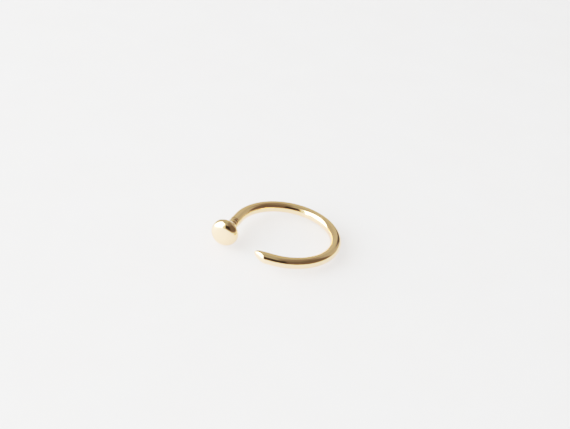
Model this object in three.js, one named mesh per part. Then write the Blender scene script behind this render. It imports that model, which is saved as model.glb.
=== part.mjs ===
// A small open hoop earring, one piece of polished gold wire.
//
// Round wire is bent almost all the way round a mandrel. One end runs straight into a thick,
// domed button head, which stops the hoop from slipping through. The other end, a short straight
// tail that is cut at a slant and rounded, goes through the ear. The hoop lies on its side, as it
// does when it is taken off: it leans on the rim of its head and on the wire opposite.
//
// Lengths are in millimetres and angles in degrees. +Z is up, the surface is at z = 0, and the
// origin is under the middle of the hoop. The side with the gap faces left and -Y.

import * as THREE from 'three';

// Driving sizes of the wire
const WIRE_DIAMETER = 0.8;
const INNER_DIAMETER = 6.5;
const TAIL_ANGLE = -118;        // where the bend starts, past the straight tail
const TAIL_LENGTH = 1.26;       // straight wire from the middle of the tip to the bend
const TIP_DEPTH = 0.55;         // length of the tail that is rounded off
const TIP_SLANT = 1.0;          // what the tail loses per millimetre towards its outer side
const TIP_OVERHANG = 0.4;       // what the tail gains per millimetre towards its upper side
const NECK_ANGLE = 143.8;       // where the wire leaves the bend and runs straight
const NECK_LENGTH = 2.14;       // straight wire between the bend and the head's fillet

// Driving sizes of the head, from the neck outwards
const FILLET = 0.07;            // hollow corner between the neck and the head's back
const BACK_DEPTH = 0.21;
const HEAD_DIAMETER = 2.0;
const SIDE_LENGTH = 0.04;
const FRONT_DEPTH = 0.5;
const FACE_DIAMETER = 0.9;      // flat middle of the head's front

// How the hoop is turned on the surface, seen from above
const TURN = 17.85;

// Fineness of the facets
const WIRE_SIDES = 24;
const BEND_STEPS = 72;
const ROUND_STEPS = 7;

const GOLD = new THREE.MeshStandardMaterial({ color: 0xd8b56e, roughness: 0.14, metalness: 1 });

const { clamp, degToRad, lerp } = THREE.MathUtils;
const WIRE_RADIUS = WIRE_DIAMETER / 2;
const BEND_RADIUS = INNER_DIAMETER / 2 + WIRE_RADIUS;
const BEND_LENGTH = degToRad(NECK_ANGLE - TAIL_ANGLE) * BEND_RADIUS;

// A quarter of an ellipse between two profile points, without the first: it either rises or
// runs on first
function quarterRound(from, to, risesFirst) {
  const points = [];
  for (let step = 1; step <= ROUND_STEPS; step++) {
    const angle = (step / ROUND_STEPS) * Math.PI / 2;
    const early = Math.sin(angle);
    const late = 1 - Math.cos(angle);
    const radius = lerp(from.x, to.x, risesFirst ? early : late);
    const length = lerp(from.y, to.y, risesFirst ? late : early);
    points.push(new THREE.Vector2(radius, length));
  }
  return points;
}

// The straight, unbent piece as a turned profile: radius against length. The length is 0 where the
// bend starts, and the tail lies before it.
function turnedProfile() {
  const at = (radius, length) => new THREE.Vector2(radius, length);
  const profile = [at(0, -TAIL_LENGTH)];
  profile.push(...quarterRound(profile[0], at(WIRE_RADIUS, TIP_DEPTH - TAIL_LENGTH), true));
  for (let step = 0; step <= BEND_STEPS; step++) {
    profile.push(at(WIRE_RADIUS, BEND_LENGTH * step / BEND_STEPS));
  }
  const filletStart = at(WIRE_RADIUS, BEND_LENGTH + NECK_LENGTH);
  const filletEnd = at(WIRE_RADIUS + FILLET, filletStart.y + FILLET);
  profile.push(filletStart);
  profile.push(...quarterRound(filletStart, filletEnd, false));
  profile.push(...quarterRound(filletEnd, at(HEAD_DIAMETER / 2, filletEnd.y + BACK_DEPTH), true));
  const sideEnd = at(HEAD_DIAMETER / 2, profile.at(-1).y + SIDE_LENGTH);
  profile.push(sideEnd);
  profile.push(...quarterRound(sideEnd, at(FACE_DIAMETER / 2, sideEnd.y + FRONT_DEPTH), false));
  profile.push(at(0, profile.at(-1).y));
  return profile;
}

// The slanting cut of the tip. Each line along the tail is shortened or lengthened on its own,
// by where it lies round the wire, so the tail's sides stay as they are.
function slanted(outwards, length, upwards) {
  const shareOfTail = Math.min(length, 0) / TAIL_LENGTH;
  return length - shareOfTail * (TIP_SLANT * outwards - TIP_OVERHANG * upwards);
}

// Turns the piece, then bends it round the mandrel by moving each of its points. A point's length
// becomes an angle as far as the bend goes, and runs on straight before it and past it.
function hoopGeometry() {
  const geometry = new THREE.LatheGeometry(turnedProfile(), WIRE_SIDES);
  const position = geometry.getAttribute('position');
  for (let i = 0; i < position.count; i++) {
    const length = slanted(position.getX(i), position.getY(i), position.getZ(i));
    const bent = clamp(length, 0, BEND_LENGTH);
    const beyond = length - bent;
    const angle = degToRad(TAIL_ANGLE) + bent / BEND_RADIUS;
    const outwards = BEND_RADIUS + position.getX(i);
    const x = outwards * Math.cos(angle) - beyond * Math.sin(angle);
    const y = outwards * Math.sin(angle) + beyond * Math.cos(angle);
    position.setXYZ(i, x, y, position.getZ(i));
  }
  return geometry;
}

// The middle of mass of a closed body, from the tetrahedra between its faces and the origin
function middleOfMass(geometry) {
  const position = geometry.getAttribute('position');
  const corner = [0, 1, 2].map(() => new THREE.Vector3());
  const middle = new THREE.Vector3();
  let volume = 0;
  for (let i = 0; i < geometry.index.count; i += 3) {
    corner.forEach((c, k) => c.fromBufferAttribute(position, geometry.index.getX(i + k)));
    const share = corner[0].dot(new THREE.Vector3().crossVectors(corner[1], corner[2])) / 6;
    corner.forEach((c) => middle.addScaledVector(c, share / 4));
    volume += share;
  }
  return middle.divideScalar(volume);
}

// The direction that points down when the hoop has come to rest on a flat surface. A loose body
// rolls until its middle of mass is lowest, so the search turns the direction in ever smaller
// steps, spread round by the golden angle, as long as that lowers the middle of mass.
function restingDown(geometry) {
  const position = geometry.getAttribute('position');
  const middle = middleOfMass(geometry);
  const arms = [];
  for (let i = 0; i < position.count; i++) {
    arms.push(new THREE.Vector3().fromBufferAttribute(position, i).sub(middle));
  }
  const heightAbove = (down) => arms.reduce((most, arm) => Math.max(most, arm.dot(down)), 0);
  const goldenAngle = Math.PI * (3 - Math.sqrt(5));
  const triesPerStep = 60;
  let down = new THREE.Vector3(0, 0, -1);
  let height = heightAbove(down);
  let tries = 0;
  let angle = 0;
  for (let step = 0.05; step > 1e-6;) {
    angle += goldenAngle;
    const tried = new THREE.Vector3(Math.cos(angle), Math.sin(angle), 0);
    tried.multiplyScalar(step).add(down).normalize();
    const triedHeight = heightAbove(tried);
    tries += 1;
    if (triedHeight < height) {
      down = tried;
      height = triedHeight;
      tries = 0;
    } else if (tries === triesPerStep) {
      step /= 2;
      tries = 0;
    }
  }
  return down;
}

// Lays the hoop on the surface, turns it, and puts the origin under the middle of its box
function layDown(geometry) {
  const down = new THREE.Vector3(0, 0, -1);
  const toRest = new THREE.Quaternion().setFromUnitVectors(restingDown(geometry), down);
  geometry.applyQuaternion(toRest);
  geometry.rotateZ(degToRad(TURN));
  geometry.computeBoundingBox();
  const middle = geometry.boundingBox.getCenter(new THREE.Vector3());
  geometry.translate(-middle.x, -middle.y, -geometry.boundingBox.min.z);
  return geometry;
}

const hoop = new THREE.Mesh(layDown(hoopGeometry()), GOLD);
hoop.name = 'hoop';

const earring = new THREE.Group();
earring.add(hoop);

export default earring;
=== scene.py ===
# %% [markdown]
# A small open hoop earring, dressed in Blender
#
# The real object is one piece of round gold wire. It is bent almost all the way round a mandrel.
# One end runs straight into a thick button head, and the other is cut at a slant and rounded. This
# lesson turns the piece straight, as a lathe would, presses the jaw marks into its neck, cuts its
# tip, bends it, lets it settle on a slab and then lights it like the photograph.
#
# The solid model is loaded first as a fixed frame.

# %% Load the fixed frame
import math

import bpy
import numpy as np
from mathutils import Matrix, Vector


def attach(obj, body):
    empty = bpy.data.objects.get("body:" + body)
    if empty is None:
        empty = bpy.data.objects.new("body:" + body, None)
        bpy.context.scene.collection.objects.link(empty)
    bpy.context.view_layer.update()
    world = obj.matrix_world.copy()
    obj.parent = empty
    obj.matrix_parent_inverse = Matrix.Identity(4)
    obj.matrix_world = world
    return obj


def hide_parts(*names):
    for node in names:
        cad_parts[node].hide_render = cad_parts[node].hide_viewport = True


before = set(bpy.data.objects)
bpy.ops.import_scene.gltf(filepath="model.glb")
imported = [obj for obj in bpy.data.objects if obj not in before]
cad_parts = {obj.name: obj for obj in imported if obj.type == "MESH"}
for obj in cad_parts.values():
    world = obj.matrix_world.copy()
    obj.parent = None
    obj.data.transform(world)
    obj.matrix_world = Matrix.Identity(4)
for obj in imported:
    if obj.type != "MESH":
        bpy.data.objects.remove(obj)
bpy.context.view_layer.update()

MM = 0.001

# %% [markdown]
# The driving sizes are the jeweller's: the gauge of the wire, the mandrel, the tail and the neck.
# They are the solid's own sizes, written once here in metres, and every place further down follows
# from them. The slant is a direction instead: what the tail loses in length for each step outwards
# (x), along the wire (y) and upwards (z). It is cut back on its outer side and stands proud on top.

# %% Sizes of the hoop
WIRE_RADIUS = 0.4 * MM
INNER_RADIUS = 3.25 * MM
BEND_RADIUS = INNER_RADIUS + WIRE_RADIUS
TAIL_ANGLE = math.radians(-118)
TAIL_LENGTH = 1.26 * MM
TIP_DEPTH = 0.55 * MM
TIP_SLANT = (1.0, 0.0, -0.4)
NECK_ANGLE = math.radians(143.8)
NECK_LENGTH = 2.14 * MM

BEND_LENGTH = (NECK_ANGLE - TAIL_ANGLE) * BEND_RADIUS
HEAD_START = BEND_LENGTH + NECK_LENGTH
print("bend, mm:", round(BEND_LENGTH / MM, 2), "head starts at, mm:", round(HEAD_START / MM, 2))

# %% [markdown]
# The straight piece is a turned profile: a radius for every length along the wire. The length is
# 0 where the bend starts, and the straight tail lies before it. A curve with a screw modifier could
# make it too. Here it is worked out as rows of points, because the later steps need to know each
# point's place along the wire.
#
# The rows stand closer where more happens: at the rounded tip, and on the neck, which gets the jaw
# marks. ROWS holds their number for each stretch, and for each half of the crease.
#
# Upsetting the wire to form the head flares the neck just before it, and leaves a fine crease
# between the two. The head's back and front are quarter ellipses. Its front isn't quite flat: the
# buffing wheel leaves a very low dome, which spreads the reflections.

# %% The turned profile
SWELL_RADIUS, SWELL_LENGTH = 0.62 * MM, 0.8 * MM
CREASE_RADIUS, CREASE_WIDTH = 0.5 * MM, 0.08 * MM
CREASE = HEAD_START + CREASE_WIDTH / 2
COLLAR_RADIUS, BACK_DEPTH = 0.6 * MM, 0.21 * MM
HEAD_RADIUS, SIDE_LENGTH = 1.0 * MM, 0.04 * MM
FACE_RADIUS, FRONT_DEPTH = 0.45 * MM, 0.5 * MM
FACE_DOME = 0.012 * MM
ROWS = {"tip": 30, "tail": 24, "bend": 359, "neck": 149, "crease": 8, "back": 28, "side": 4,
        "front": 34, "face": 20}


def spread(start, end, rows):
    """Evenly spread values after the start, up to the end."""
    return np.linspace(start, end, rows + 1)[1:]


def quarter_round(start, end, rows, rises_first):
    """Points of a quarter ellipse after its start, as (length, radius)."""
    angles = spread(0, math.pi / 2, rows)
    early, late = np.sin(angles), 1 - np.cos(angles)
    along, out = (late, early) if rises_first else (early, late)
    (length_a, radius_a), (length_b, radius_b) = start, end
    return [
        (length_a + (length_b - length_a) * a, radius_a + (radius_b - radius_a) * o)
        for a, o in zip(along, out)
    ]


def turned_profile():
    """The piece from the end of its tip to the middle of the head's face."""
    rows = [(-TAIL_LENGTH, 0)]
    rows += quarter_round(rows[-1], (TIP_DEPTH - TAIL_LENGTH, WIRE_RADIUS), ROWS["tip"], True)
    rows += [(length, WIRE_RADIUS) for length in spread(rows[-1][0], 0, ROWS["tail"])]
    rows += [(length, WIRE_RADIUS) for length in spread(0, BEND_LENGTH, ROWS["bend"])]
    for length in spread(BEND_LENGTH, HEAD_START, ROWS["neck"]):
        risen = min(max(1 - (HEAD_START - length) / SWELL_LENGTH, 0), 1)
        risen = risen * risen * (3 - 2 * risen)
        rows.append((length, WIRE_RADIUS + risen * (SWELL_RADIUS - WIRE_RADIUS)))
    crease_end = HEAD_START + CREASE_WIDTH
    rows += quarter_round(rows[-1], (CREASE, CREASE_RADIUS), ROWS["crease"], False)
    rows += quarter_round(rows[-1], (crease_end, COLLAR_RADIUS), ROWS["crease"], True)
    rows += quarter_round(rows[-1], (crease_end + BACK_DEPTH, HEAD_RADIUS), ROWS["back"], True)
    side_end = rows[-1][0] + SIDE_LENGTH
    rows += [(length, HEAD_RADIUS) for length in spread(rows[-1][0], side_end, ROWS["side"])]
    face_edge = side_end + FRONT_DEPTH - FACE_DOME
    rows += quarter_round(rows[-1], (face_edge, FACE_RADIUS), ROWS["front"], False)
    for share in spread(1, 0, ROWS["face"]):
        rows.append((face_edge + FACE_DOME * (1 - share**2), FACE_RADIUS * share))
    return np.array(rows)


profile = turned_profile()
print("rows in the profile:", len(profile), "overall, mm:", round(profile[-1, 0] / MM, 2))

# %% [markdown]
# Each row of the profile becomes a ring of points, apart from the first and the last, which are
# single points on the axis. Neighbouring rings are joined by four-sided faces. The straight place
# of every point is kept as an attribute in millimetres: the finish reads it later, so that its
# drawing lines and polishing haze follow the bent wire.

# %% The straight piece as a mesh
AROUND = 112


def ring_points(rows):
    """Rings of points for rows of (length, radius): x is outwards, y along, z upwards."""
    turn = np.linspace(0, 2 * math.pi, AROUND, endpoint=False)
    rings = np.empty((len(rows), AROUND, 3))
    rings[..., 0] = rows[:, 1, None] * np.cos(turn)
    rings[..., 1] = rows[:, 0, None]
    rings[..., 2] = rows[:, 1, None] * np.sin(turn)
    return rings.reshape(-1, 3)


def ring_faces(count):
    """Faces between the rings and a fan at each end, all of them facing outwards."""
    here = np.arange(AROUND)
    after = (here + 1) % AROUND
    ring = np.arange(count - 1)[:, None] * AROUND
    quads = np.stack([ring + here, ring + AROUND + here, ring + AROUND + after, ring + after], -1)
    start_point, end_point = count * AROUND, count * AROUND + 1
    last = (count - 1) * AROUND
    start_fan = [(start_point, int(a), int(b)) for a, b in zip(here, after)]
    end_fan = [(end_point, int(last + b), int(last + a)) for a, b in zip(here, after)]
    return quads.reshape(-1, 4).tolist() + start_fan + end_fan


rings = ring_points(profile[1:-1])
ends = np.array([[0, profile[0, 0], 0], [0, profile[-1, 0], 0]])
points = np.vstack([rings, ends])
straight = bpy.data.meshes.new("hoop_straight")
straight.from_pydata(points.tolist(), [], ring_faces(len(profile) - 2))
kept_place = straight.attributes.new("straight_mm", "FLOAT_VECTOR", "POINT")
kept_place.data.foreach_set("vector", (points / MM).ravel().astype(np.float32))
hoop = bpy.data.objects.new("gold_hoop", straight)
bpy.context.collection.objects.link(hoop)
print("points:", len(points), "faces:", len(straight.polygons))

# %% [markdown]
# Node trees are used twice: to shape the hoop here, and for its finish later. One small helper
# adds any node. An input given as a number or vector is set, and one given as another node's
# output is linked.

# %% The node helper
def add(tree, kind, inputs=None, **settings):
    """Adds a node to a tree with its settings and links, and returns its outputs."""
    node = tree.nodes.new(kind)
    for name, value in settings.items():
        setattr(node, name, value)
    for key, value in (inputs or {}).items():
        if isinstance(value, bpy.types.NodeSocket):
            tree.links.new(value, node.inputs[key])
        else:
            node.inputs[key].default_value = value
    return node.outputs


# %% [markdown]
# The vice that holds the neck while the head is formed leaves nicks across it, about a fifth of a
# millimetre apart. They repeat with a little chance, so they are made by Geometry Nodes: the neck
# is divided into cells, and each cell gets one nick, whose shift, side and depth come from a random
# vector of its own. The same tree gives the wire the slight unevenness of hand work.
#
# The tip's cut and the bend follow rules too. The cut moves each point of the tail along the wire
# by where it lies round it, so the tail's sides keep their shape. In the bend, a point keeps its
# height and its distance from the wire's middle, and its length along the wire becomes an angle
# round the mandrel. Before the bend, on the tail, and past it, on the neck, the wire runs straight.

# %% The tree that marks, cuts and bends the wire
WAVES_PER_METRE = (900.0, 450.0, 900.0)


def shaping_tree():
    """Geometry Nodes that press jaw marks into the straight piece, slant its tip and bend it."""
    tree = bpy.data.node_groups.new("mark_and_bend", "GeometryNodeTree")
    tree.interface.new_socket("Geometry", in_out="OUTPUT", socket_type="NodeSocketGeometry")
    tree.interface.new_socket("Geometry", in_out="INPUT", socket_type="NodeSocketGeometry")
    for name in ("Bend Radius", "Start Angle", "Bend Length", "Tail Length", "Wire Radius", "Marks Middle",
                 "Marks Reach", "Mark Spacing", "Mark Width", "Mark Depth", "Unevenness"):
        tree.interface.new_socket(name, in_out="INPUT", socket_type="NodeSocketFloat")
    tree.interface.new_socket("Tip Slant", in_out="INPUT", socket_type="NodeSocketVector")
    tree.interface.new_socket("Seed", in_out="INPUT", socket_type="NodeSocketInt")
    tree.interface.new_socket("Finish", in_out="INPUT", socket_type="NodeSocketMaterial")
    given = add(tree, "NodeGroupInput")
    position = add(tree, "GeometryNodeInputPosition")[0]
    place = add(tree, "ShaderNodeSeparateXYZ", {0: position})

    # One nick in each cell of the neck: its place there, its side and its strength are random
    from_middle = add(tree, "ShaderNodeMath", {0: place[1], 1: given["Marks Middle"]},
                      operation="SUBTRACT")[0]
    cells = add(tree, "ShaderNodeMath", {0: from_middle, 1: given["Mark Spacing"]}, operation="DIVIDE")[0]
    cell = add(tree, "ShaderNodeMath", {0: cells}, operation="FLOOR")[0]
    least = (0.3, 0.0, 0.4)
    most = (0.7, math.tau, 1.0)
    chance = add(tree, "FunctionNodeRandomValue", {0: least, 1: most, 7: cell, 8: given["Seed"]},
                 data_type="FLOAT_VECTOR")[0]
    chance = add(tree, "ShaderNodeSeparateXYZ", {0: chance})
    in_cell = add(tree, "ShaderNodeMath", {0: cells, 1: cell}, operation="SUBTRACT")[0]
    from_nick = add(tree, "ShaderNodeMath", {0: in_cell, 1: chance[0]}, operation="SUBTRACT")[0]
    spaced = add(tree, "ShaderNodeMath", {0: from_nick, 1: given["Mark Spacing"]}, operation="MULTIPLY")[0]
    away = add(tree, "ShaderNodeMath", {0: spaced}, operation="ABSOLUTE")[0]
    nick = add(tree, "ShaderNodeMapRange", {0: away, 1: 0.0, 2: given["Mark Width"], 3: 1.0, 4: 0.0},
               interpolation_type="SMOOTHSTEP")[0]
    turn = add(tree, "ShaderNodeMath", {0: place[2], 1: place[0]}, operation="ARCTAN2")[0]
    from_side = add(tree, "ShaderNodeMath", {0: turn, 1: chance[1]}, operation="SUBTRACT")[0]
    facing = add(tree, "ShaderNodeMath", {0: from_side}, operation="COSINE")[0]
    pressed = add(tree, "ShaderNodeMath", {0: facing, 1: 2.0}, operation="POWER")[0]
    pressed = add(tree, "ShaderNodeMath", {0: pressed, 1: nick}, operation="MULTIPLY")[0]
    pressed = add(tree, "ShaderNodeMath", {0: pressed, 1: chance[2]}, operation="MULTIPLY")[0]
    on_neck = add(tree, "ShaderNodeMath", {0: from_middle, 1: 0.0, 2: given["Marks Reach"]},
                  operation="COMPARE")[0]
    pressed = add(tree, "ShaderNodeMath", {0: pressed, 1: on_neck}, operation="MULTIPLY")[0]
    with_nicks = add(tree, "GeometryNodeStoreNamedAttribute", {
        "Geometry": given["Geometry"], "Name": "nick", "Value": pressed
    }, data_type="FLOAT", domain="POINT")[0]
    pressed = add(tree, "ShaderNodeMath", {0: pressed, 1: given["Mark Depth"]}, operation="MULTIPLY")[0]

    # Slow unevenness along the wire, a millimetre or two long
    stretched = add(tree, "ShaderNodeVectorMath", {0: position, 1: WAVES_PER_METRE},
                    operation="MULTIPLY")[0]
    uneven = add(tree, "ShaderNodeTexNoise", {"Vector": stretched, "Scale": 1.0, "Detail": 1.0})[0]
    lifted = add(tree, "ShaderNodeMath", {0: uneven, 1: 0.5}, operation="SUBTRACT")[0]
    lifted = add(tree, "ShaderNodeMath", {0: lifted, 1: given["Unevenness"]}, operation="MULTIPLY")[0]

    # The section grows or shrinks by both
    change = add(tree, "ShaderNodeMath", {0: lifted, 1: pressed}, operation="SUBTRACT")[0]
    share = add(tree, "ShaderNodeMath", {0: change, 1: given["Wire Radius"]}, operation="DIVIDE")[0]
    scale = add(tree, "ShaderNodeMath", {0: share, 1: 1.0}, operation="ADD")[0]
    outwards = add(tree, "ShaderNodeMath", {0: place[0], 1: scale}, operation="MULTIPLY")[0]
    upwards = add(tree, "ShaderNodeMath", {0: place[2], 1: scale}, operation="MULTIPLY")[0]

    # The slanting cut: nothing changes at the bend's start, and the most at the tip
    on_tail = add(tree, "ShaderNodeMath", {0: place[1], 1: 0.0}, operation="MINIMUM")[0]
    from_bend = add(tree, "ShaderNodeMath", {0: on_tail, 1: given["Tail Length"]}, operation="DIVIDE")[0]
    slanted = add(tree, "ShaderNodeVectorMath", {0: position, 1: given["Tip Slant"]},
                  operation="DOT_PRODUCT")[1]
    slanted = add(tree, "ShaderNodeMath", {0: slanted, 1: from_bend}, operation="MULTIPLY")[0]
    length = add(tree, "ShaderNodeMath", {0: place[1], 1: slanted}, operation="SUBTRACT")[0]

    # The bend: a turn about the mandrel for the bent length, and straight on for the rest
    bent = add(tree, "ShaderNodeClamp", {0: length, 1: 0.0, 2: given["Bend Length"]})[0]
    beyond = add(tree, "ShaderNodeMath", {0: length, 1: bent}, operation="SUBTRACT")[0]
    turned = add(tree, "ShaderNodeMath", {0: bent, 1: given["Bend Radius"]}, operation="DIVIDE")[0]
    angle = add(tree, "ShaderNodeMath", {0: turned, 1: given["Start Angle"]}, operation="ADD")[0]
    reach = add(tree, "ShaderNodeMath", {0: outwards, 1: given["Bend Radius"]}, operation="ADD")[0]
    unturned = add(tree, "ShaderNodeCombineXYZ", {0: reach, 1: beyond, 2: upwards})[0]
    moved = add(tree, "ShaderNodeVectorRotate", {"Vector": unturned, "Angle": angle},
                rotation_type="Z_AXIS")[0]
    shaped = add(tree, "GeometryNodeSetPosition", {"Geometry": with_nicks, "Position": moved})[0]
    smooth = add(tree, "GeometryNodeSetShadeSmooth", {"Geometry": shaped})[0]
    real = add(tree, "GeometryNodeRealizeInstances", {"Geometry": smooth})[0]
    finished = add(tree, "GeometryNodeSetMaterial", {"Geometry": real, "Material": given["Finish"]})[0]
    add(tree, "NodeGroupOutput", {"Geometry": finished})
    return tree


tree = shaping_tree()
print("nodes in the shaping tree:", len(tree.nodes))

# %% [markdown]
# The modifier's inputs are set by the sockets' identifiers, because two sockets may share a name.
# The result is then read back as a plain mesh. The marks cover the neck's last stretch before the
# head, as in the photograph.

# %% Mark, cut and bend the wire
MARKED_LENGTH = 1.4 * MM
gold = bpy.data.materials.new("polished_gold_filled_wire")


def shape_with(obj, tree, values):
    """Runs a tree on an object with values for its named inputs, and keeps the result as its mesh."""
    modifier = obj.modifiers.new(tree.name, "NODES")
    modifier.node_group = tree
    for item in tree.interface.items_tree:
        if item.item_type == "SOCKET" and item.in_out == "INPUT" and item.name in values:
            modifier[item.identifier] = values[item.name]
    shaped = obj.evaluated_get(bpy.context.evaluated_depsgraph_get())
    mesh = bpy.data.meshes.new_from_object(shaped)
    obj.modifiers.clear()
    obj.data = mesh
    mesh.name = obj.name


shape_with(hoop, tree, {
    "Bend Radius": BEND_RADIUS,
    "Start Angle": TAIL_ANGLE,
    "Bend Length": BEND_LENGTH,
    "Tail Length": TAIL_LENGTH,
    "Tip Slant": TIP_SLANT,
    "Wire Radius": WIRE_RADIUS,
    "Marks Middle": HEAD_START - MARKED_LENGTH / 2,
    "Marks Reach": MARKED_LENGTH / 2,
    "Mark Spacing": 0.22 * MM,
    "Mark Width": 0.1 * MM,
    "Mark Depth": 0.055 * MM,
    "Unevenness": 0.012 * MM,
    "Seed": 7,
    "Finish": gold,
})
print("points after bending:", len(hoop.data.vertices))

# %% [markdown]
# A loose body on a table rolls until its middle of mass is as low as it can be. This step lets the
# hoop do that: it tries small changes of the direction that points down, keeps each one that
# brings the middle of mass nearer to the lowest point, and makes the steps smaller when none does.
# Rigid body physics would find the same rest, but slower and less exactly.

# %% Let the hoop come to rest
TURN = math.radians(17.85)
FIRST_STEP, LAST_STEP = 0.05, 1e-6
TRIES_PER_STEP = 60


def middle_of_mass(mesh, places):
    """The middle of mass, from the tetrahedra between the faces and the origin."""
    mesh.calc_loop_triangles()
    corners = np.empty(len(mesh.loop_triangles) * 3, dtype=np.int32)
    mesh.loop_triangles.foreach_get("vertices", corners)
    a, b, c = places[corners.reshape(-1, 3)].transpose(1, 0, 2)
    volumes = np.einsum("ij,ij->i", a, np.cross(b, c)) / 6
    middle = ((a + b + c) / 4 * volumes[:, None]).sum(0) / volumes.sum()
    return middle, volumes.sum()


def resting_down(arms):
    """The direction that points down at rest, for points given from the middle of mass."""
    golden_angle = math.pi * (3 - math.sqrt(5))
    down, step, angle, tries = Vector((0, 0, -1)), FIRST_STEP, 0.0, 0
    height = (arms @ down).max()
    while step > LAST_STEP:
        angle += golden_angle
        tried = (down + step * Vector((math.cos(angle), math.sin(angle), 0))).normalized()
        tried_height = (arms @ tried).max()
        tries += 1
        if tried_height < height:
            down, height, tries = tried, tried_height, 0
        elif tries == TRIES_PER_STEP:
            step, tries = step / 2, 0
    return down


places = np.empty(len(hoop.data.vertices) * 3)
hoop.data.vertices.foreach_get("co", places)
places = places.reshape(-1, 3)
middle, volume = middle_of_mass(hoop.data, places)
print("volume, cubic mm:", round(volume / MM**3, 3))
down = resting_down(places - middle)
to_rest = down.rotation_difference(Vector((0, 0, -1))).to_matrix()
laying = Matrix.Rotation(TURN, 3, "Z") @ to_rest
places = places @ np.array(laying).T
middle_of_box = (places.min(0) + places.max(0)) / 2
shift = np.array([-middle_of_box[0], -middle_of_box[1], -places[:, 2].min()])
places += shift
hoop.data.vertices.foreach_set("co", places.ravel())
hoop.data.update()
hoop_centre = Vector(shift)
print("tilt, degrees:", round(math.degrees(down.angle(Vector((0, 0, -1)))), 2))
print("box, mm:", np.round(places.min(0) / MM, 3), np.round(places.max(0) / MM, 3))

# %% [markdown]
# The metal is yellow gold. Such small hoops are usually gold-filled: a layer of gold alloy rolled
# onto brass and drawn to wire. Only the gold shows. It is drawn through a die, which leaves fine
# lines along the wire, then polished, which leaves it glossy with a faint haze.
#
# Gold takes its colour from its reflections, so the base colour is gold's reflectance seen
# straight on, and the edges turn white by themselves. The lines are about 4 hundredths of a
# millimetre apart. Real ones are finer, and are drawn coarser here so that they show. Along the
# wire the pattern is stretched thirty times. The crease behind the head and the nicks on the neck
# get painted shade: a darker brown base colour, with a duller gloss. The finish counts in
# millimetres, as the attribute does, apart from the depth of the lines, which is in metres.

# %% Gold: the colour function and the finish
def colour(hex_code):
    """The linear RGBA of an sRGB hex colour."""
    parts = [int(hex_code[i:i + 2], 16) / 255 for i in (1, 3, 5)]
    linear = [c / 12.92 if c <= 0.04045 else ((c + 0.055) / 1.055) ** 2.4 for c in parts]
    return (*linear, 1.0)


LINE_SPACING, LINE_STRETCH = 0.04, 30.0
LINE_DEPTH = 0.0012 * MM
HAZE_PER_MM = 2.2
RECESS_SHADE_REACH = 0.07
POLISHED_ROUGHNESS, HAZY_ROUGHNESS, RECESS_ROUGHNESS = 0.07, 0.13, 0.4


def finish_gold(material):
    """Polished gold wire: drawing lines, polishing haze, and painted shade in the crease and nicks."""
    material.use_nodes = True
    tree = material.node_tree
    tree.nodes.clear()
    place = add(tree, "ShaderNodeAttribute", attribute_name="straight_mm")["Vector"]
    length = add(tree, "ShaderNodeSeparateXYZ", {0: place})[1]

    lines_at = add(tree, "ShaderNodeMapping", {
        "Vector": place, "Scale": (1 / LINE_SPACING, 1 / LINE_SPACING / LINE_STRETCH, 1 / LINE_SPACING)
    })[0]
    lines = add(tree, "ShaderNodeTexNoise", {"Vector": lines_at, "Scale": 1.0, "Detail": 3.0})[0]
    haze = add(tree, "ShaderNodeTexNoise", {"Vector": place, "Scale": HAZE_PER_MM, "Detail": 4.0})[0]
    mixed = add(tree, "ShaderNodeMath", {0: lines, 1: 0.35, 2: haze}, operation="MULTIPLY_ADD")[0]

    # Painted shade: a mask for the crease behind the head and the nicks on the neck
    from_crease = add(tree, "ShaderNodeMath", {0: length, 1: CREASE / MM}, operation="SUBTRACT")[0]
    distance = add(tree, "ShaderNodeMath", {0: from_crease}, operation="ABSOLUTE")[0]
    recess_shade = add(tree, "ShaderNodeMapRange", {
        0: distance, 1: 0.0, 2: RECESS_SHADE_REACH, 3: 1.0, 4: 0.0
    }, interpolation_type="SMOOTHSTEP")[0]
    nick = add(tree, "ShaderNodeAttribute", attribute_name="nick")["Fac"]
    in_nick = add(tree, "ShaderNodeMapRange", {0: nick, 1: 0.1, 2: 0.7, 3: 0.0, 4: 0.75},
                  interpolation_type="SMOOTHSTEP")[0]
    recess_shade = add(tree, "ShaderNodeMath", {0: recess_shade, 1: in_nick}, operation="MAXIMUM")[0]

    gloss = add(tree, "ShaderNodeMapRange", {
        0: mixed, 1: 0.45, 2: 0.95, 3: POLISHED_ROUGHNESS, 4: HAZY_ROUGHNESS
    })[0]
    roughness = add(tree, "ShaderNodeMix", {0: recess_shade, 2: gloss, 3: RECESS_ROUGHNESS})[0]
    tone = add(tree, "ShaderNodeMix", {0: haze, 6: colour("#FFD7A2"), 7: colour("#F9D19A")},
               data_type="RGBA")[2]
    # The painted shade: dark brown mixed into the base colour in the crease and nicks
    shade = add(tree, "ShaderNodeMix", {0: recess_shade, 6: tone, 7: colour("#8A6A3C")},
                data_type="RGBA")[2]
    relief = add(tree, "ShaderNodeBump", {"Height": lines, "Strength": 0.5, "Distance": LINE_DEPTH})[0]
    metal = add(tree, "ShaderNodeBsdfPrincipled", {
        "Base Color": shade, "Metallic": 1.0, "Roughness": roughness, "Normal": relief
    })
    add(tree, "ShaderNodeOutputMaterial", {"Surface": metal[0]})


finish_gold(gold)
print("materials on the hoop:", [slot.name for slot in hoop.material_slots])

# %% [markdown]
# The hoop lies on a thick slab of white marble. Light goes a little way into the stone, here about
# a centimetre, and comes out beside where it went in. Under a thing as small as this hoop it leaves
# hardly any shadow. Subsurface scattering does that, and a closed slab gives it room to work.

# %% The pale slab
SLAB_SIZE, SLAB_THICKNESS = 1.6, 0.04
CLOUDS_PER_METRE = 160.0
SCATTER_DISTANCE = 0.012


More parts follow.
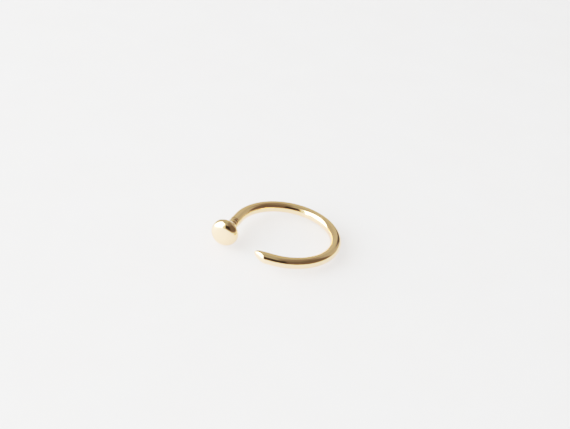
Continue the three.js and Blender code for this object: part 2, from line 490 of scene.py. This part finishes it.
def slab_material():
    """Honed white marble: faint clouds, a dull sheen, and light scattered inside."""
    material = bpy.data.materials.new("honed_white_marble")
    material.use_nodes = True
    tree = material.node_tree
    tree.nodes.clear()
    place = add(tree, "ShaderNodeTexCoord")["Object"]
    clouds = add(tree, "ShaderNodeTexNoise", {
        "Vector": place, "Scale": CLOUDS_PER_METRE, "Detail": 5.0
    })[0]
    cloudy = add(tree, "ShaderNodeMapRange", {0: clouds, 1: 0.35, 2: 0.65, 3: 0.0, 4: 1.0})[0]
    tone = add(tree, "ShaderNodeMix", {0: cloudy, 6: colour("#F4F3F2"), 7: colour("#F8F7F6")},
               data_type="RGBA")[2]
    stone = add(tree, "ShaderNodeBsdfPrincipled", {
        "Base Color": tone, "Roughness": 0.55, "Subsurface Weight": 1.0,
        "Subsurface Radius": (1.0, 1.0, 1.0), "Subsurface Scale": SCATTER_DISTANCE
    })
    add(tree, "ShaderNodeOutputMaterial", {"Surface": stone[0]})
    return material


half = SLAB_SIZE / 2
outline = [(-half, -half), (half, -half), (half, half), (-half, half)]
corners = [(x, y, z) for z in (-SLAB_THICKNESS, 0) for x, y in outline]
sides = [(0, 3, 2, 1), (4, 5, 6, 7), (0, 1, 5, 4), (1, 2, 6, 5), (2, 3, 7, 6), (3, 0, 4, 7)]
slab_mesh = bpy.data.meshes.new("pale_slab")
slab_mesh.from_pydata(corners, [], sides)
slab_mesh.materials.append(slab_material())
slab = bpy.data.objects.new("pale_slab", slab_mesh)
bpy.context.collection.objects.link(slab)
print("slab, m:", SLAB_SIZE, "by", SLAB_SIZE, "by", SLAB_THICKNESS)

# %% [markdown]
# Polished metal shows its surroundings, so the light is a small room and not just a lamp. A tall
# window stands on the slab to the left, a little towards the camera. The photograph shows it as
# the white streak along the hoop's inner side at the right, and as the white patches on the head
# and the tip. It is an area light, whose watts are worked out from how bright it looks.

# %% The window
WINDOW_AZIMUTH = math.radians(-105)
WINDOW_DISTANCE, WINDOW_WIDTH, WINDOW_HEIGHT = 0.4, 0.56, 0.72
WINDOW_RADIANCE = 15.5

window = bpy.data.lights.new("window", "AREA")
window.shape = "RECTANGLE"
window.size, window.size_y = WINDOW_WIDTH, WINDOW_HEIGHT
window.energy = WINDOW_RADIANCE * math.pi * WINDOW_WIDTH * WINDOW_HEIGHT
window_object = bpy.data.objects.new("window", window)
window_place = Vector((math.sin(WINDOW_AZIMUTH), math.cos(WINDOW_AZIMUTH), 0)) * WINDOW_DISTANCE
window_place.z = WINDOW_HEIGHT / 2
window_object.location = window_place
facing = Vector((-window_place.x, -window_place.y, 0))
window_object.rotation_euler = facing.to_track_quat("-Z", "Y").to_euler()
bpy.context.collection.objects.link(window_object)
print("window, W:", round(window.energy, 1))

# %% [markdown]
# The rest of the room is painted on the world by direction: walls that darken a little towards
# the ceiling, and patches on them, in the order of the list. These are the paler wall behind the
# hoop, the ceiling and the dark corner to the right, the bright foot of the wall there, the bright
# window frame, the dark shape behind the camera, the shade at the foot of the wall beside it, and
# a strip of shade at the back. Azimuth 0 is straight behind the hoop, and 90 is to the right.
#
# A patch has its middle, half its width and half its height in degrees. "soft" is the width of its
# blurred edge in degrees, and "times" makes it brighter than its colour can say. The walls stop
# darkening at RAMP_TOP degrees.

# %% The room
RAMP_TOP = 75.0
ROOM = [
    {"azimuth": 0, "elevation": 42, "wide": 22, "high": 30, "soft": 20, "times": 1, "colour": "#D3D3CE"},
    {"azimuth": 105, "elevation": 66, "wide": 75, "high": 18, "soft": 22, "times": 1, "colour": "#918E88"},
    {"azimuth": 123, "elevation": 34, "wide": 50, "high": 26, "soft": 12, "times": 1, "colour": "#776C64"},
    {"azimuth": 110, "elevation": -4, "wide": 75, "high": 10, "soft": 8, "times": 1, "colour": "#DAD6D0"},
    {"azimuth": 214, "elevation": 29, "wide": 8, "high": 30, "soft": 7, "times": 1.8, "colour": "#E9E4DA"},
    {"azimuth": 186, "elevation": 31, "wide": 20, "high": 20, "soft": 8, "times": 1, "colour": "#3A322A"},
    {"azimuth": 203, "elevation": 3, "wide": 14, "high": 4, "soft": 5, "times": 1, "colour": "#6E6258"},
    {"azimuth": 27, "elevation": 17, "wide": 9, "high": 11, "soft": 7, "times": 1, "colour": "#5C5A5A"},
]


def build_room():
    """The world: a ramp from the horizon to the ceiling, with the room's patches on it."""
    world = bpy.data.worlds.new("small_room")
    world.use_nodes = True
    tree = world.node_tree
    tree.nodes.clear()
    way = add(tree, "ShaderNodeSeparateXYZ", {0: add(tree, "ShaderNodeTexCoord")["Generated"]})
    turned = add(tree, "ShaderNodeMath", {0: way[0], 1: way[1]}, operation="ARCTAN2")[0]
    raised = add(tree, "ShaderNodeMath", {0: way[2]}, operation="ARCSINE")[0]
    azimuth = add(tree, "ShaderNodeMath", {0: turned}, operation="DEGREES")[0]
    elevation = add(tree, "ShaderNodeMath", {0: raised}, operation="DEGREES")[0]
    height = add(tree, "ShaderNodeMapRange", {0: elevation, 1: 0.0, 2: RAMP_TOP, 3: 0.0, 4: 1.0})[0]
    shade = add(tree, "ShaderNodeMix", {0: height, 6: colour("#CBC9CA"), 7: colour("#B6BAB8")},
                data_type="RGBA")[2]
    for patch in ROOM:
        turned = add(tree, "ShaderNodeMath", {0: azimuth, 1: patch["azimuth"]}, operation="SUBTRACT")[0]
        wrapped = add(tree, "ShaderNodeMath", {0: turned, 1: 180.0, 2: -180.0}, operation="WRAP")[0]
        beside = add(tree, "ShaderNodeMath", {0: wrapped}, operation="ABSOLUTE")[0]
        risen = add(tree, "ShaderNodeMath", {0: elevation, 1: patch["elevation"]}, operation="SUBTRACT")[0]
        above = add(tree, "ShaderNodeMath", {0: risen}, operation="ABSOLUTE")[0]
        past_side = add(tree, "ShaderNodeMath", {0: beside, 1: patch["wide"]}, operation="SUBTRACT")[0]
        past_top = add(tree, "ShaderNodeMath", {0: above, 1: patch["high"]}, operation="SUBTRACT")[0]
        past = add(tree, "ShaderNodeMath", {0: past_side, 1: past_top}, operation="MAXIMUM")[0]
        inside = add(tree, "ShaderNodeMapRange", {
            0: past, 1: -patch["soft"] / 2, 2: patch["soft"] / 2, 3: 1.0, 4: 0.0
        }, interpolation_type="SMOOTHSTEP")[0]
        painted = tuple(patch["times"] * part for part in colour(patch["colour"]))
        shade = add(tree, "ShaderNodeMix", {0: inside, 6: shade, 7: painted}, data_type="RGBA")[2]
    light = add(tree, "ShaderNodeBackground", {"Color": shade, "Strength": 1.0})[0]
    add(tree, "ShaderNodeOutputWorld", {"Surface": light})
    return world


bpy.context.scene.world = build_room()
print("patches in the room:", len(ROOM))

# %% [markdown]
# The photograph is bright and soft: its whites roll off gently instead of clipping. The standard
# view transform is kept, with a curve before it that follows the mid-tones up to 0.4 and then
# bends over, so that the slab, more than twice as bright as white, still shows just under white.

# %% The tone curve
SHOULDER = [(0.0, 0.0), (0.2, 0.2), (0.4, 0.395), (0.68, 0.578), (1.08, 0.715), (1.46, 0.775),
            (1.9, 0.845), (2.4, 0.895), (3.2, 0.955), (5.0, 1.0)]
BRIGHTEST = SHOULDER[-1][0]

view = bpy.context.scene.view_settings
view.view_transform = "Standard"
view.use_curve_mapping = True
mapping = view.curve_mapping
mapping.white_level = (BRIGHTEST, BRIGHTEST, BRIGHTEST)
curve = mapping.curves[3]
for light, shown in SHOULDER[1:-1]:
    curve.points.new(light / BRIGHTEST, shown)
mapping.update()
print("points on the tone curve:", len(curve.points))

# %% [markdown]
# The camera looks from the front, about 34 degrees above the slab, 7 cm away through a long lens,
# and it is rolled a few degrees, as a hand-held camera is. The photograph's frame is 570 by 429
# pixels, and the middle of the ring stands in it at the pixel named below.

# %% The camera
FRAME_WIDTH, FRAME_HEIGHT = 570, 429
CENTRE_PIXEL = (285.43, 233.61)
ELEVATION, ROLL = math.radians(33.61), math.radians(6.43)
DISTANCE = 0.07
SENSOR, LENS = 36.0, 61.96

camera = bpy.data.cameras.new("camera")
camera.sensor_width, camera.lens = SENSOR, LENS
camera.clip_start, camera.clip_end = 0.005, 10.0
focal_pixels = LENS / SENSOR * FRAME_WIDTH
aim_right = math.atan((FRAME_WIDTH / 2 - CENTRE_PIXEL[0]) / focal_pixels)
aim_up = math.atan((CENTRE_PIXEL[1] - FRAME_HEIGHT / 2) / focal_pixels)
looking = Matrix.Rotation(math.pi / 2 - ELEVATION, 3, "X") @ Matrix.Rotation(ROLL, 3, "Z")
looking_away = looking @ Vector((0, 0, 1))
looking = looking @ Matrix.Rotation(aim_up, 3, "X") @ Matrix.Rotation(-aim_right, 3, "Y")
camera_object = bpy.data.objects.new("camera", camera)
camera_object.matrix_world = Matrix.Translation(hoop_centre + looking_away * DISTANCE) @ looking.to_4x4()
bpy.context.collection.objects.link(camera_object)
bpy.context.scene.camera = camera_object
print("camera, mm:", [round(v / MM, 2) for v in camera_object.matrix_world.translation])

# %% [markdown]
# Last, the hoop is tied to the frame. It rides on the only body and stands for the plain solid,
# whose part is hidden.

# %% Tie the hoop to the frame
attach(hoop, "root")
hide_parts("hoop")
